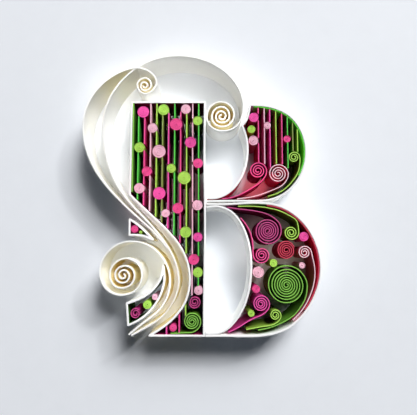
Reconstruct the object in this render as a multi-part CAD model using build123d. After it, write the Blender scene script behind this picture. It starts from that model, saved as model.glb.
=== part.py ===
from build123d import *
import math
import os

# Quilled paper letter on a card. Every strip of paper stands on its long edge and is glued
# along that edge to one flat card. Millimetres, +Z up out of the card, +Y towards the top
# of the letter. The origin is the middle of the card's underside.

# ---- driving dimensions ----
CARD_SIDE = 140.0        # square card
CARD_THICK = 1.5
CARD_CORNER = 0.4        # small rounding of the card's cut corners
STRIP_HEIGHT = 10.0      # width of the quilling strip, stood on edge
OUTLINE_THICK = 0.55     # heavy white strip round the letter
FLOURISH_THICK = 0.45    # cream strip of the flourishes
FILL_THICK = 0.36        # coloured strip inside the letter
FILL_DROP = 0.10         # coloured strips stand this much lower than the outline
PEG_DROP = 0.25          # and the tight coils a little lower still
GLUE_GAP = 0.03          # room left for glue where two strips meet side by side
FOLD_STEPS = 2           # points along a line between two given points

STEM_LEFT, STEM_RIGHT = -20.80, -1.05
STEM_TOP, STEM_FOOT = 28.62, -32.90

# ---- lines of the strips' top edges, x and y ----
STEM_CURVE = [
    (-20.80, 3.45), (-16.71, -0.46), (-12.25, -4.60), (-8.63, -8.52), (-6.51, -11.84), (-5.26, -15.23),
    (-4.80, -18.73), (-5.12, -22.00), (-6.16, -24.87), (-8.03, -27.56), (-10.98, -30.28), (-15.04, -32.86),
]
OUTER_LINE = [
    (-17.82, 33.33), (-17.55, 32.76), (-16.95, 32.88), (-16.66, 33.60), (-17.12, 34.14), (-18.00, 34.16),
    (-18.42, 33.53), (-18.23, 32.45), (-17.54, 31.96), (-16.48, 32.16), (-15.78, 32.95), (-15.79, 34.09),
    (-16.49, 35.12), (-17.48, 35.42), (-18.64, 34.94), (-19.33, 33.95), (-19.26, 32.73), (-18.43, 31.53),
    (-17.34, 31.04), (-16.09, 31.34), (-14.86, 32.47), (-14.26, 33.93), (-14.46, 35.33), (-15.51, 36.74),
    (-17.33, 37.87), (-19.43, 38.31), (-21.89, 37.98), (-24.94, 36.67), (-27.98, 34.55), (-30.47, 31.90),
    (-32.27, 28.90), (-33.34, 25.68), (-33.69, 22.06), (-33.29, 18.08), (-32.10, 13.97), (-30.13, 9.99),
    (-27.19, 5.90), (-23.14, 1.59), (-18.75, -2.47), (-14.05, -6.68), (-12.30, -8.63), (-10.69, -10.55),
]
INNER_LINE = [
    (3.50, 25.21), (2.87, 24.80), (3.04, 24.17), (3.75, 23.92), (4.42, 24.36), (4.51, 25.31),
    (3.94, 26.01), (2.93, 26.13), (2.19, 25.55), (1.96, 24.37), (2.40, 23.45), (3.45, 23.06),
    (4.71, 23.36), (5.44, 24.19), (5.51, 25.51), (4.88, 26.79), (3.87, 27.36), (2.54, 27.21),
    (1.43, 26.38), (0.90, 25.05), (1.10, 23.58), (1.93, 22.51), (3.34, 21.98), (4.82, 22.16),
    (6.02, 23.07), (6.75, 24.57), (6.74, 26.15), (5.97, 27.54), (4.58, 28.54), (3.04, 28.78),
    (1.47, 28.25), (0.17, 27.01), (-0.45, 25.43), (-0.34, 23.66), (0.46, 22.14), (1.82, 21.17),
    (3.76, 20.78), (5.83, 21.11), (7.42, 22.07), (8.56, 23.70), (9.22, 26.09), (9.21, 29.02),
    (8.44, 31.89), (6.89, 34.62), (4.57, 37.12), (1.53, 39.24), (-2.02, 40.78), (-5.84, 41.61),
    (-9.80, 41.69), (-13.73, 41.01), (-17.41, 39.60), (-20.67, 37.55), (-23.50, 34.87), (-25.80, 31.63),
    (-27.43, 28.05), (-28.29, 24.34), (-28.42, 20.18), (-27.72, 15.16), (-26.30, 10.17), (-24.45, 6.22),
    (-21.74, 2.42), (-17.71, -1.94), (-13.63, -6.33), (-10.56, -10.46), (-8.70, -14.13), (-7.81, -17.40),
    (-7.75, -20.37), (-8.46, -23.16), (-9.99, -25.96), (-12.14, -28.35), (-15.13, -30.36), (-19.72, -32.87),
]
LOOP_LINE = [
    (-20.33, -32.62), (-16.70, -29.73), (-13.01, -26.77), (-11.21, -24.51), (-10.21, -22.01), (-9.89, -19.19),
    (-10.33, -16.34), (-11.47, -13.78), (-13.28, -11.59), (-15.59, -9.96), (-18.14, -9.06), (-20.77, -8.91),
    (-23.23, -9.50), (-25.30, -10.76), (-26.95, -12.65), (-27.92, -14.87), (-28.12, -17.14), (-27.57, -19.35),
    (-26.40, -21.11), (-24.81, -22.21), (-22.77, -22.68), (-20.63, -22.41), (-18.90, -21.48), (-17.75, -20.04),
    (-17.21, -18.13), (-17.40, -16.23), (-18.26, -14.72), (-19.75, -13.67), (-21.48, -13.30), (-23.14, -13.71),
    (-24.57, -14.83), (-25.39, -16.38), (-25.47, -18.11), (-24.84, -19.72), (-23.76, -20.63), (-22.24, -20.89),
    (-20.64, -20.43), (-19.54, -19.41), (-19.12, -18.00), (-19.42, -16.55), (-20.31, -15.60), (-21.69, -15.23),
    (-23.05, -15.60), (-23.95, -16.54), (-24.15, -17.81), (-23.65, -18.97), (-22.63, -19.54), (-21.47, -19.42),
    (-20.69, -18.64), (-20.52, -17.53), (-21.10, -16.65), (-22.09, -16.32), (-22.85, -16.74), (-23.16, -17.71),
    (-22.75, -18.32), (-21.88, -18.40), (-21.53, -17.92), (-21.97, -17.28),
]
TRIANGLE_UPPER = [
    (-20.71, -3.11), (-18.92, -4.26), (-16.99, -5.89), (-14.61, -8.39),
]
TRIANGLE_LOWER = [
    (-14.61, -8.39), (-16.55, -7.61), (-18.61, -7.22), (-20.68, -7.22),
]
LEAF_UPPER = [
    (-11.71, -15.19), (-12.02, -17.64), (-13.10, -19.90), (-14.99, -21.95), (-17.70, -23.66), (-20.98, -24.79),
]
LEAF_LOWER = [
    (-20.54, -30.27), (-17.59, -28.82), (-15.01, -26.68), (-13.02, -24.03), (-11.78, -21.10), (-11.35, -18.11),
    (-11.71, -15.19),
]
BOWL_OUTER = [
    (-0.53, 1.72), (5.32, 1.75), (11.18, 1.71), (15.63, 1.89), (18.34, 2.65), (20.83, 4.12),
    (23.00, 6.27), (24.70, 8.97), (25.75, 12.02), (26.10, 15.25), (25.73, 18.49), (24.68, 21.43),
    (23.08, 23.85), (21.05, 25.66), (18.42, 26.96), (15.02, 27.77), (11.16, 27.91),
]
BOWL_SHOULDER = [
    (11.16, 27.91), (10.58, 24.96), (9.90, 23.37), (9.01, 22.25),
]
BOWL_INNER = [
    (9.01, 22.25), (10.13, 18.89), (10.48, 15.09), (9.98, 11.30), (8.72, 7.97), (6.86, 5.34),
    (4.61, 3.54), (2.13, 2.60), (-0.53, 2.52),
]
LOWER_OUTER = [
    (-0.66, 0.95), (5.00, 0.90), (10.99, 1.17), (15.91, 0.97), (19.19, 0.18), (22.02, -1.30),
    (24.58, -3.52), (26.72, -6.40), (28.26, -9.77), (29.07, -13.34), (29.11, -16.86), (28.36, -20.42),
    (26.82, -23.97), (24.57, -27.24), (21.96, -29.75), (19.21, -31.42), (15.94, -32.44), (11.34, -32.91),
    (5.35, -32.86), (-0.64, -32.90),
]
COUNTER_LINE = [
    (-0.66, 0.05), (1.82, 0.32), (4.15, -0.15), (6.14, -1.28), (7.85, -3.18), (9.50, -6.31),
    (10.61, -10.04), (11.09, -14.39), (10.86, -19.18), (9.97, -23.36), (8.52, -26.80), (6.61, -29.55),
    (4.63, -31.29), (2.65, -32.12), (-0.64, -32.30),
]

PEGS = {   # node: (x, y, radius) of each tight coil
    "bowl_pegs_hot_pink": [(21.10, 18.60, 0.95), (12.35, -21.20, 1.00)],
    "bowl_pegs_lime": [(11.55, 21.25, 1.05), (16.95, -14.55, 1.00), (11.00, -27.30, 0.85)],
    "bowl_pegs_magenta": [(12.20, 24.55, 1.30), (25.00, -7.70, 1.20)],
    "bowl_pegs_pale_pink": [(12.05, 18.15, 1.30), (15.85, 22.30, 0.95), (12.95, -16.90, 1.45), (24.35, -15.15, 0.80)],
    "side_pegs_hot_pink": [(-19.38, -5.62, 0.98)],
    "side_pegs_lime": [(-17.75, -6.45, 0.45), (-15.72, -25.11, 1.08)],
    "side_pegs_pale_pink": [(-13.85, -23.20, 0.75)],
    "stem_pegs_hot_pink": [(-8.74, 22.58, 1.66), (-16.44, 9.75, 1.29), (-2.79, 11.91, 1.31), (-8.13, -0.13, 1.39), (-3.87, -13.57, 1.37), (-9.05, -30.89, 0.95)],
    "stem_pegs_lime": [(-12.18, 26.63, 1.50), (-2.93, 23.55, 1.24), (-18.52, 16.26, 1.37), (-9.97, 10.56, 1.21), (-6.49, 8.00, 1.71), (-6.04, -6.44, 1.47), (-2.77, -16.93, 1.26)],
    "stem_pegs_magenta": [(-17.67, 26.02, 1.55), (-4.82, 17.62, 1.47), (-13.09, 3.85, 1.63), (-2.84, -7.74, 1.21)],
    "stem_pegs_pale_pink": [(-6.18, 26.80, 1.31), (-15.10, 21.58, 1.29), (-13.27, 15.17, 1.74), (-18.37, 5.18, 1.37), (-2.97, 0.66, 1.37), (-11.32, -1.45, 1.05), (-2.55, -21.48, 1.16)],
}

STEM_LINES = [   # x of the line, colour, (lower end, upper end) of each length of strip
    (-18.83, "green", [(2.14, 3.80), (6.58, 14.84), (17.66, 24.76)]),
    (-17.22, "hot_pink", [(0.62, 4.16), (6.20, 8.54), (10.94, 15.40), (17.12, 24.44)]),
    (-15.60, "pale_pink", [(-0.86, 8.58), (10.92, 20.28), (22.88, 28.30)]),
    (-13.98, "lime", [(-2.36, 2.32), (5.38, 13.46), (16.86, 20.62), (22.54, 28.30)]),
    (-12.37, "olive", [(-3.86, -2.12), (-0.78, 2.26), (5.44, 13.54), (16.80, 25.08)]),
    (-10.75, "magenta", [(-32.58, -30.64), (-5.44, -2.48), (-0.42, 9.46), (11.66, 25.72)]),
    (-9.13, "green", [(-7.18, -1.32), (1.04, 9.48), (11.64, 20.88), (24.28, 28.30)]),
    (-7.52, "hot_pink", [(-32.04, -27.66), (-9.24, -7.22), (-5.66, -1.52), (1.24, 6.46), (9.54, 21.22), (23.92, 26.08)]),
    (-5.90, "lime", [(-27.80, -25.40), (-12.00, -7.96), (-4.92, 6.28), (9.70, 16.40), (18.84, 25.44)]),
    (-4.28, "pale_pink", [(-22.70, -14.96), (-12.16, -0.18), (1.52, 11.54), (12.26, 16.14), (19.10, 23.02), (24.06, 28.30)]),
    (-2.67, "green", [(-20.28, -18.24), (-12.58, -9.00), (-6.48, -0.76), (2.08, 10.54), (13.28, 22.26), (24.82, 28.30)]),
]

BOWL_LINES = [
    (13.40, "hot_pink", [(12.24, 17.48), (18.82, 23.68), (25.42, 27.18)]),
    (15.00, "pale_pink", [(11.72, 21.56), (23.04, 27.02)]),
    (16.50, "magenta", [(10.78, 21.42), (23.18, 26.72)]),
    (18.10, "lime", [(11.74, 26.24)]),
    (19.70, "hot_pink", [(11.66, 25.52)]),
    (21.20, "green", [(10.54, 17.60), (19.60, 24.52)]),
    (22.60, "olive", [(15.22, 23.08)]),
    (23.85, "lime", [(15.06, 21.12)]),
]

COILS = {   # node: (x, y, outer radius, spacing of the turns, angle of the outer end)
    "foot_coil_magenta": (-3.50, -24.45, 1.80, 0.54, 200),
    "bowl_coil_crimson": (20.35, -11.35, 2.60, 0.54, 20),
    "leaf_coil_magenta": (-18.70, -27.35, 1.55, 0.54, 40),
}

SCROLLS = {   # node: (x, y, radius of the curl, radius of its eye, angle where the tail joins, turns, sense,
              #        how fast the turns close up, tail)
    "foot_scroll_green": (-4.15, -29.35, 2.35, 0.30, -40, 3.6, 1, 0.85,
        [(-3.10, -31.60), (-4.15, -32.07), (-5.90, -32.18), (-7.70, -32.30), (-9.60, -32.32)]),
    "upper_scroll_hot_pink": (13.20, 9.90, 2.40, 0.32, -20, 3.0, 1, 0.85,
        [(15.00, 8.10), (14.23, 7.08), (13.07, 6.15), (10.90, 4.75), (8.40, 3.45), (5.80, 2.60), (3.50, 2.32)]),
    "upper_scroll_pale_pink": (18.60, 9.10, 2.75, 0.32, -20, 3.4, 1, 0.85,
        [(20.65, 7.05), (19.73, 6.00), (18.25, 5.12), (15.90, 4.15), (13.20, 3.20), (10.40, 2.60), (7.60, 2.30)]),
    "upper_scroll_lime": (22.85, 13.60, 1.55, 0.32, 10, 2.2, 1, 0.90,
        [(24.42, 12.40), (24.10, 10.20), (22.90, 7.80), (21.10, 5.65), (18.70, 3.95), (15.90, 2.95)]),
    "lower_scroll_plum": (15.60, -6.30, 3.70, 0.30, 40, 5.4, -1, 0.80,
        [(17.39, -2.93), (16.04, -2.07), (14.49, -1.48), (12.10, -0.95), (9.60, -0.60), (7.20, -0.28), (4.90, 0.10)]),
    "lower_scroll_lime": (21.75, -6.75, 1.95, 0.32, -10, 2.6, -1, 0.85,
        [(23.73, -6.11), (23.61, -5.08), (23.29, -3.72), (21.50, -2.30), (19.30, -1.15), (16.60, -0.35), (13.40, 0.15), (10.40, 0.30), (7.80, 0.30)]),
    "lower_scroll_hot_pink": (13.90, -12.55, 2.20, 0.32, 190, 2.9, 1, 0.85,
        [(11.62, -11.00), (11.50, -8.90), (10.95, -6.70), (9.95, -4.70), (8.40, -2.75)]),
    "lower_scroll_green": (20.20, -20.25, 5.30, 0.30, 5, 7.2, 1, 0.75,
        [(25.35, -21.92), (24.77, -23.82), (23.62, -25.72), (21.92, -27.70), (19.50, -29.25), (16.40, -30.60), (12.80, -31.45)]),
    "lower_scroll_pale_pink": (25.10, -11.90, 1.75, 0.32, 20, 2.4, 1, 0.85,
        [(26.98, -12.30), (27.42, -14.60), (27.60, -17.20), (27.10, -20.30), (25.95, -23.30), (24.00, -26.45), (21.60, -28.95)]),
    "lower_scroll_magenta": (13.55, -24.90, 2.25, 0.30, -35, 3.4, 1, 0.85,
        [(14.68, -27.02), (13.65, -27.75), (12.16, -28.33), (10.30, -29.20), (8.50, -30.30), (6.70, -31.30), (5.20, -31.98)]),
    "lower_scroll_small_lime": (17.15, -27.75, 1.50, 0.32, -30, 2.2, 1, 0.85,
        [(18.01, -29.12), (17.29, -29.70), (16.38, -30.13), (14.30, -30.50), (12.00, -30.88), (9.80, -31.30)]),
}

LININGS = {   # coloured strips glued against the inside of an outline
    "stem_lining_green": [
        (-20.30, 28.31), (-20.30, 4.30),
    ],
    "upper_lining_green": [
        (24.01, 8.70), (24.88, 10.72), (25.41, 12.85), (25.61, 15.05), (25.46, 17.24), (24.97, 19.39),
        (24.13, 21.41), (22.94, 23.24), (21.41, 24.78), (19.58, 25.94), (17.53, 26.73), (15.37, 27.21),
        (13.15, 27.43), (12.22, 27.44),
    ],
    "lower_lining_crimson": [
        (15.53, 0.52), (18.54, -0.12), (21.30, -1.42), (23.71, -3.33), (25.68, -5.69), (27.19, -8.39),
        (28.20, -11.31), (28.66, -14.36), (28.54, -17.44), (27.83, -20.44), (26.62, -23.29),
        (24.97, -25.92), (24.69, -26.29),
    ],
}


# ---- helpers ----
def smooth(points):
    """Points along a smooth line through the given points, each with its direction."""
    if len(points) == 2:
        (x0, y0), (x1, y1) = points
        d = math.hypot(x1 - x0, y1 - y0)
        t = ((x1 - x0) / d, (y1 - y0) / d)
        return [(x0, y0, *t), (x1, y1, *t)]
    edge = Edge.make_spline([Vector(x, y, 0) for x, y in points])
    run = [0.0]
    for (x0, y0), (x1, y1) in zip(points[:-1], points[1:]):
        run.append(run[-1] + math.hypot(x1 - x0, y1 - y0))
    out = []
    for a, b in zip(run[:-1], run[1:]):
        for k in range(FOLD_STEPS):
            out.append((a + (b - a) * k / FOLD_STEPS) / run[-1])
    out.append(1.0)
    line = []
    for u in out:
        p = edge.position_at(u, position_mode=PositionMode.PARAMETER)
        t = edge.tangent_at(u, position_mode=PositionMode.PARAMETER)
        line.append((p.X, p.Y, t.X, t.Y))
    return line


def shift(line, d):
    """The line moved sideways by d, to its left."""
    return [(x - ty * d, y + tx * d) for x, y, tx, ty in line]


def edge_through(points, z):
    pts = [Vector(x, y, z) for x, y in points]
    if len(pts) == 2:
        return Edge.make_line(pts[0], pts[1])
    return Edge.make_spline(pts)


def side_of(runs, d, closed, z):
    """Edges of one side of a folded strip: mitred inside each fold, rounded outside it."""
    sides = [shift(r, d) for r in runs]
    joins = []
    n = len(runs)
    for i in range(n if closed else n - 1):
        a, b = runs[i], runs[(i + 1) % n]
        x, y, ax, ay = a[-1]
        bx, by = b[0][2], b[0][3]
        turn = ax * by - ay * bx
        dot = ax * bx + ay * by
        na, nb = (-ay, ax), (-by, bx)
        if turn * d > 0:      # inside of the fold: the two sides meet at a mitre point
            k = d / (1.0 + dot)
            m = (x + (na[0] + nb[0]) * k, y + (na[1] + nb[1]) * k)
            cut = abs(d) * abs(turn) / (1.0 + dot)
            s, t = sides[i], sides[(i + 1) % n]
            while len(s) > 2 and math.hypot(s[-2][0] - x, s[-2][1] - y) < cut * 1.05 + abs(d):
                s.pop(-2)
            while len(t) > 2 and math.hypot(t[1][0] - x, t[1][1] - y) < cut * 1.05 + abs(d):
                t.pop(1)
            s[-1] = m
            t[0] = m
            joins.append(None)
        else:                 # outside of the fold: paper bends round with a small radius
            h = math.hypot(na[0] + nb[0], na[1] + nb[1])
            if h < 1e-3:
                mid = (x + ax * abs(d), y + ay * abs(d))
            else:
                mid = (x + (na[0] + nb[0]) / h * d, y + (na[1] + nb[1]) / h * d)
            joins.append(((x + na[0] * d, y + na[1] * d), mid, (x + nb[0] * d, y + nb[1] * d)))
    edges = []
    for i, s in enumerate(sides):
        edges.append(edge_through(s, z))
        if i < len(joins) and joins[i]:
            p, m, q = joins[i]
            if math.hypot(p[0] - q[0], p[1] - q[1]) > 1e-4:
                edges.append(Edge.make_three_point_arc(Vector(*p, z), Vector(*m, z), Vector(*q, z)))
    return edges, sides


def strip_face(runs, thick, closed=False, z=CARD_THICK):
    """Plan of a strip of the given thickness along one or more smooth runs that meet at folds."""
    lines = [smooth(r) for r in runs]
    h = thick / 2
    left, lpts = side_of(lines, h, closed, z)
    right, rpts = side_of(lines, -h, closed, z)
    if closed:
        a, b = Face(Wire(left)), Face(Wire(right))
        if a.area < b.area:
            left, right = right, left
        return Face(Wire(left), [Wire(right)])
    ends = [Edge.make_line(Vector(*lpts[-1][-1], z), Vector(*rpts[-1][-1], z)),
            Edge.make_line(Vector(*lpts[0][0], z), Vector(*rpts[0][0], z))]
    return Face(Wire(left + right + ends))


def stand(face, height):
    """Stand a plan up off the card."""
    return Solid.extrude(face, Vector(0, 0, height))


def pieces_of(shape):
    """The separate faces of a plan, largest first."""
    return sorted(shape.faces(), key=lambda f: -f.area)


def curl(x, y, r_out, r_in, angle, turns, sense, closing):
    """Line of an open curl, from its inner end out."""
    n = int(turns * 15)
    pts = []
    for i in range(n + 1):
        f = i / n
        a = math.radians(angle + sense * turns * 360 * f)
        r = r_out + (r_in - r_out) * f ** closing
        pts.append((x + r * math.cos(a), y + r * math.sin(a)))
    return pts[::-1]


def loose_coil(x, y, radius, pitch, angle):
    """Line of a closed loose coil: evenly spaced turns, the outer end tucked in against the next turn."""
    r0 = radius - FILL_THICK / 2
    turns = (r0 - 0.30) / pitch
    n = int(turns * 16)
    tuck = pitch - FILL_THICK - GLUE_GAP
    pts = []
    for i in range(n + 1):
        deg = turns * 360 * i / n
        s = min(1.0, deg / 80.0)
        s = s * s * (3 - 2 * s)
        r = r0 - pitch * deg / 360 - tuck * (1 - s)
        a = math.radians(angle + deg)
        pts.append((x + r * math.cos(a), y + r * math.sin(a)))
    return pts


def save(name, solids):
    solids = list(solids)
    shape = solids[0] if len(solids) == 1 else Compound(children=solids)
    shape.label = name
    export_step(shape, f"parts/{name}.step")


# ---- the card ----
os.makedirs("parts", exist_ok=True)
card = extrude(RectangleRounded(CARD_SIDE, CARD_SIDE, CARD_CORNER), amount=CARD_THICK)
save("backing_card", card.solids())

# ---- the letter's white outlines ----
foot_x = STEM_CURVE[-1][0]
stem_runs = [
    [(STEM_RIGHT, STEM_FOOT), (STEM_RIGHT, STEM_TOP)],
    [(STEM_RIGHT, STEM_TOP), (STEM_LEFT, STEM_TOP)],
    [(STEM_LEFT, STEM_TOP), STEM_CURVE[0]],
    STEM_CURVE,
    [STEM_CURVE[-1], (STEM_RIGHT, STEM_FOOT)],
]
save("stem_outline", [stand(strip_face(stem_runs, OUTLINE_THICK, closed=True), STRIP_HEIGHT)])
save("upper_bowl_outline", [stand(strip_face([BOWL_OUTER, BOWL_SHOULDER, BOWL_INNER], OUTLINE_THICK), STRIP_HEIGHT)])
save("lower_bowl_outline", [stand(strip_face([LOWER_OUTER], OUTLINE_THICK), STRIP_HEIGHT)])
save("lower_counter_outline", [stand(strip_face([COUNTER_LINE], OUTLINE_THICK), STRIP_HEIGHT)])
save("triangle_outline", [stand(strip_face(
    [TRIANGLE_UPPER, TRIANGLE_LOWER, [TRIANGLE_LOWER[-1], TRIANGLE_UPPER[0]]], OUTLINE_THICK, closed=True), STRIP_HEIGHT)])
save("leaf_outline", [stand(strip_face(
    [LEAF_UPPER, [LEAF_UPPER[-1], LEAF_LOWER[0]], LEAF_LOWER], OUTLINE_THICK, closed=True), STRIP_HEIGHT)])

# ---- cream flourishes ----
# The outer strip runs unbroken from its spiral. The inner line crosses it near the top, so there it is
# two strips that butt against the outer one. Lower down the outer strip's end is cut on the slant
# where it meets the inner one.
def part_above(line, y, x):
    """The run of a line from its start until it first drops below y, left of x."""
    for i, p in enumerate(line):
        if p[1] < y and p[0] < x:
            return line[:i + 1]
    return line


crossing = strip_face([part_above(OUTER_LINE, 15.0, -30.0)], FLOURISH_THICK + 2 * GLUE_GAP)
merge_start = len(part_above(INNER_LINE, 5.0, -20.0))
merging = strip_face([INNER_LINE[merge_start:]], FLOURISH_THICK + 2 * GLUE_GAP)
crown, inner = pieces_of(strip_face([INNER_LINE], FLOURISH_THICK) - crossing)[:2]
if crown.center().Y < inner.center().Y:
    crown, inner = inner, crown
outer = pieces_of(strip_face([OUTER_LINE], FLOURISH_THICK) - merging)[0]
save("flourish_crown", [stand(crown, STRIP_HEIGHT)])
save("flourish_inner", [stand(inner, STRIP_HEIGHT)])
save("flourish_outer", [stand(outer, STRIP_HEIGHT)])
save("flourish_loop", [stand(strip_face([LOOP_LINE], FLOURISH_THICK), STRIP_HEIGHT)])

# ---- coloured fill ----
FILL_HEIGHT = STRIP_HEIGHT - FILL_DROP
PEG_HEIGHT = STRIP_HEIGHT - PEG_DROP


def line_of_strips(x, spans):
    for y0, y1 in spans:
        yield Pos(x, (y0 + y1) / 2, CARD_THICK + FILL_HEIGHT / 2) * Box(FILL_THICK, y1 - y0, FILL_HEIGHT)


def solids_of(shapes):
    return [s for shape in shapes for s in shape.solids()]


for i, (x, colour, spans) in enumerate(STEM_LINES, 1):
    save(f"stem_strip_{i:02d}_{colour}", solids_of(line_of_strips(x, spans)))
for i, (x, colour, spans) in enumerate(BOWL_LINES, 1):
    save(f"upper_strip_{i:02d}_{colour}", solids_of(line_of_strips(x, spans)))
for name, pegs in PEGS.items():
    save(name, solids_of(
        Pos(x, y, CARD_THICK + PEG_HEIGHT / 2) * Cylinder(r, PEG_HEIGHT) for x, y, r in pegs))
for name, (x, y, r, pitch, angle) in COILS.items():
    save(name, [stand(strip_face([loose_coil(x, y, r, pitch, angle)], FILL_THICK), FILL_HEIGHT)])
for name, (x, y, r_out, r_in, angle, turns, sense, closing, tail) in SCROLLS.items():
    line = curl(x, y, r_out, r_in, angle, turns, sense, closing) + tail
    save(name, [stand(strip_face([line], FILL_THICK), FILL_HEIGHT)])
for name, line in LININGS.items():
    save(name, [stand(strip_face([line], FILL_THICK), FILL_HEIGHT)])
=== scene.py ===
import math

import bpy
import numpy as np
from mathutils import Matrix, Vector


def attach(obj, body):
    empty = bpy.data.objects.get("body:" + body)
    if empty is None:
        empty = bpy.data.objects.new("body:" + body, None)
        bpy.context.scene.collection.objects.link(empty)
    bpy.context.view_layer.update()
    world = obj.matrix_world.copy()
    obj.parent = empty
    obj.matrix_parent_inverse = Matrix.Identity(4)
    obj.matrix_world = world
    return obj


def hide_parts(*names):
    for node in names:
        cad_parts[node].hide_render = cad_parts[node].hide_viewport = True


# Quilled paper letter on a card: how it looks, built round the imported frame. Lines are given in
# millimetres, as in the part's own source, and meshes are made in metres. +Z is up out of the card.

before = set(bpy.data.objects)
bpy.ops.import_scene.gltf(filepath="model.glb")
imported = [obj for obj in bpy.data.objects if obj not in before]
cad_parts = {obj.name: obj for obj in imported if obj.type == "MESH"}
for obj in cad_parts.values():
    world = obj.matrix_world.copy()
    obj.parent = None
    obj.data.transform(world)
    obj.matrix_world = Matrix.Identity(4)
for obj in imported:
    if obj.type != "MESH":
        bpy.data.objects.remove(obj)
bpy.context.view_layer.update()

MM = 0.001
CARD_TOP = 1.5
STRIP_HEIGHT = 10.0
OUTLINE_THICK = 0.55
FLOURISH_THICK = 0.45
FILL_THICK = 0.36
FILL_DROP = 0.10
PEG_DROP = 0.25
GLUE_GAP = 0.03
TOP = CARD_TOP + STRIP_HEIGHT

# ---------------------------------------------------------------- lines, in mm
STEM_LEFT, STEM_RIGHT = -20.80, -1.05
STEM_TOP, STEM_FOOT = 28.62, -32.90

# ---- lines of the strips' top edges, x and y ----
STEM_CURVE = [
    (-20.80, 3.45), (-16.71, -0.46), (-12.25, -4.60), (-8.63, -8.52), (-6.51, -11.84), (-5.26, -15.23),
    (-4.80, -18.73), (-5.12, -22.00), (-6.16, -24.87), (-8.03, -27.56), (-10.98, -30.28), (-15.04, -32.86),
]
OUTER_LINE = [
    (-17.82, 33.33), (-17.55, 32.76), (-16.95, 32.88), (-16.66, 33.60), (-17.12, 34.14), (-18.00, 34.16),
    (-18.42, 33.53), (-18.23, 32.45), (-17.54, 31.96), (-16.48, 32.16), (-15.78, 32.95), (-15.79, 34.09),
    (-16.49, 35.12), (-17.48, 35.42), (-18.64, 34.94), (-19.33, 33.95), (-19.26, 32.73), (-18.43, 31.53),
    (-17.34, 31.04), (-16.09, 31.34), (-14.86, 32.47), (-14.26, 33.93), (-14.46, 35.33), (-15.51, 36.74),
    (-17.33, 37.87), (-19.43, 38.31), (-21.89, 37.98), (-24.94, 36.67), (-27.98, 34.55), (-30.47, 31.90),
    (-32.27, 28.90), (-33.34, 25.68), (-33.69, 22.06), (-33.29, 18.08), (-32.10, 13.97), (-30.13, 9.99),
    (-27.19, 5.90), (-23.14, 1.59), (-18.75, -2.47), (-14.05, -6.68), (-12.30, -8.63), (-10.69, -10.55),
]
INNER_LINE = [
    (3.50, 25.21), (2.87, 24.80), (3.04, 24.17), (3.75, 23.92), (4.42, 24.36), (4.51, 25.31),
    (3.94, 26.01), (2.93, 26.13), (2.19, 25.55), (1.96, 24.37), (2.40, 23.45), (3.45, 23.06),
    (4.71, 23.36), (5.44, 24.19), (5.51, 25.51), (4.88, 26.79), (3.87, 27.36), (2.54, 27.21),
    (1.43, 26.38), (0.90, 25.05), (1.10, 23.58), (1.93, 22.51), (3.34, 21.98), (4.82, 22.16),
    (6.02, 23.07), (6.75, 24.57), (6.74, 26.15), (5.97, 27.54), (4.58, 28.54), (3.04, 28.78),
    (1.47, 28.25), (0.17, 27.01), (-0.45, 25.43), (-0.34, 23.66), (0.46, 22.14), (1.82, 21.17),
    (3.76, 20.78), (5.83, 21.11), (7.42, 22.07), (8.56, 23.70), (9.22, 26.09), (9.21, 29.02),
    (8.44, 31.89), (6.89, 34.62), (4.57, 37.12), (1.53, 39.24), (-2.02, 40.78), (-5.84, 41.61),
    (-9.80, 41.69), (-13.73, 41.01), (-17.41, 39.60), (-20.67, 37.55), (-23.50, 34.87), (-25.80, 31.63),
    (-27.43, 28.05), (-28.29, 24.34), (-28.42, 20.18), (-27.72, 15.16), (-26.30, 10.17), (-24.45, 6.22),
    (-21.74, 2.42), (-17.71, -1.94), (-13.63, -6.33), (-10.56, -10.46), (-8.70, -14.13), (-7.81, -17.40),
    (-7.75, -20.37), (-8.46, -23.16), (-9.99, -25.96), (-12.14, -28.35), (-15.13, -30.36), (-19.72, -32.87),
]
LOOP_LINE = [
    (-20.33, -32.62), (-16.70, -29.73), (-13.01, -26.77), (-11.21, -24.51), (-10.21, -22.01), (-9.89, -19.19),
    (-10.33, -16.34), (-11.47, -13.78), (-13.28, -11.59), (-15.59, -9.96), (-18.14, -9.06), (-20.77, -8.91),
    (-23.23, -9.50), (-25.30, -10.76), (-26.95, -12.65), (-27.92, -14.87), (-28.12, -17.14), (-27.57, -19.35),
    (-26.40, -21.11), (-24.81, -22.21), (-22.77, -22.68), (-20.63, -22.41), (-18.90, -21.48), (-17.75, -20.04),
    (-17.21, -18.13), (-17.40, -16.23), (-18.26, -14.72), (-19.75, -13.67), (-21.48, -13.30), (-23.14, -13.71),
    (-24.57, -14.83), (-25.39, -16.38), (-25.47, -18.11), (-24.84, -19.72), (-23.76, -20.63), (-22.24, -20.89),
    (-20.64, -20.43), (-19.54, -19.41), (-19.12, -18.00), (-19.42, -16.55), (-20.31, -15.60), (-21.69, -15.23),
    (-23.05, -15.60), (-23.95, -16.54), (-24.15, -17.81), (-23.65, -18.97), (-22.63, -19.54), (-21.47, -19.42),
    (-20.69, -18.64), (-20.52, -17.53), (-21.10, -16.65), (-22.09, -16.32), (-22.85, -16.74), (-23.16, -17.71),
    (-22.75, -18.32), (-21.88, -18.40), (-21.53, -17.92), (-21.97, -17.28),
]
TRIANGLE_UPPER = [
    (-20.71, -3.11), (-18.92, -4.26), (-16.99, -5.89), (-14.61, -8.39),
]
TRIANGLE_LOWER = [
    (-14.61, -8.39), (-16.55, -7.61), (-18.61, -7.22), (-20.68, -7.22),
]
LEAF_UPPER = [
    (-11.71, -15.19), (-12.02, -17.64), (-13.10, -19.90), (-14.99, -21.95), (-17.70, -23.66), (-20.98, -24.79),
]
LEAF_LOWER = [
    (-20.54, -30.27), (-17.59, -28.82), (-15.01, -26.68), (-13.02, -24.03), (-11.78, -21.10), (-11.35, -18.11),
    (-11.71, -15.19),
]
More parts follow.
